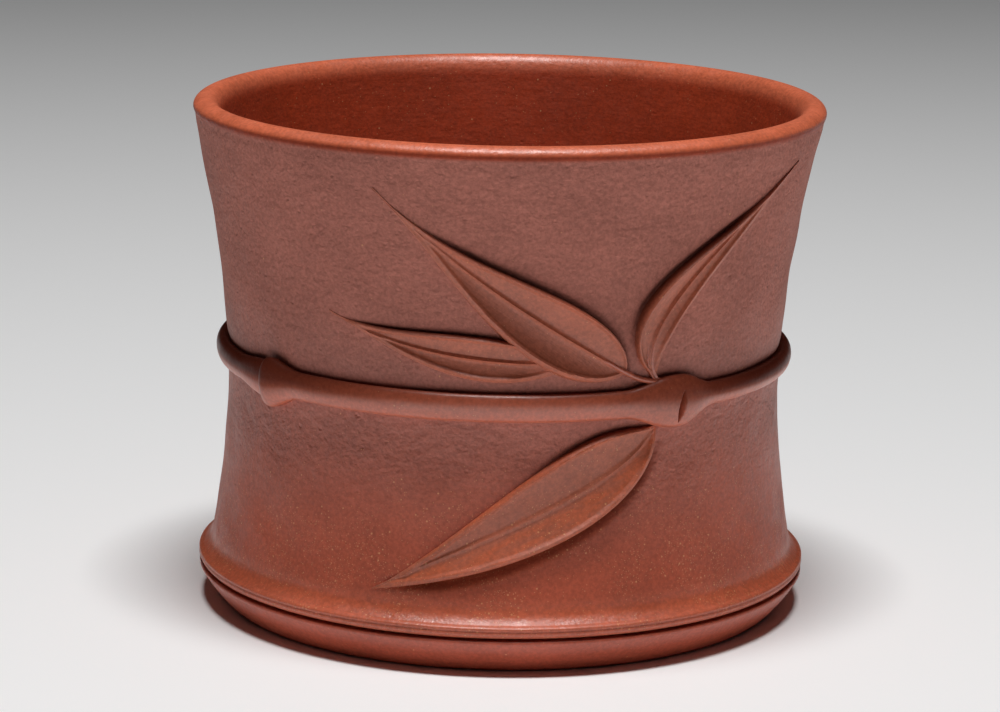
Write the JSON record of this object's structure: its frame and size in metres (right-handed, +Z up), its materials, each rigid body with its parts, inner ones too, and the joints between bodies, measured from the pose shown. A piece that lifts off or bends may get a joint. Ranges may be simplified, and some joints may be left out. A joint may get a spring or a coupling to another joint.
{
  "type": "teacup",
  "caption": "Small handleless tea cup shaped as a waisted bamboo section in unglazed clay, with a rounded lip, a ridged foot, and a bamboo branch and leaves in relief.",
  "frame": {"origin": "centre of the face that the cup stands on", "axes": "+Z up through the mouth, the leaves face -Y, +X to the right seen from the leaves"},
  "size_m": [0.072, 0.072, 0.0583],
  "materials": {
    "wall_clay": "unglazed, matt, finely pitted and sanded",
    "burnished_clay": "unglazed, smoothed and burnished to a soft sheen"
  },
  "bodies": {
    "root": {"body_wall": "wall_clay", "lip_ring": "burnished_clay", "ridge_ring": "burnished_clay", "foot_ring": "burnished_clay", "base_disc": "wall_clay", "branch_front": "burnished_clay", "branch_right": "burnished_clay", "branch_back": "burnished_clay", "branch_left": "burnished_clay", "leaf_upper_left": "burnished_clay", "leaf_lower_left": "burnished_clay", "leaf_right": "burnished_clay", "leaf_lower": "burnished_clay", "stalk_upper_left": "burnished_clay", "stalk_right": "burnished_clay"}
  },
  "joints": []
}
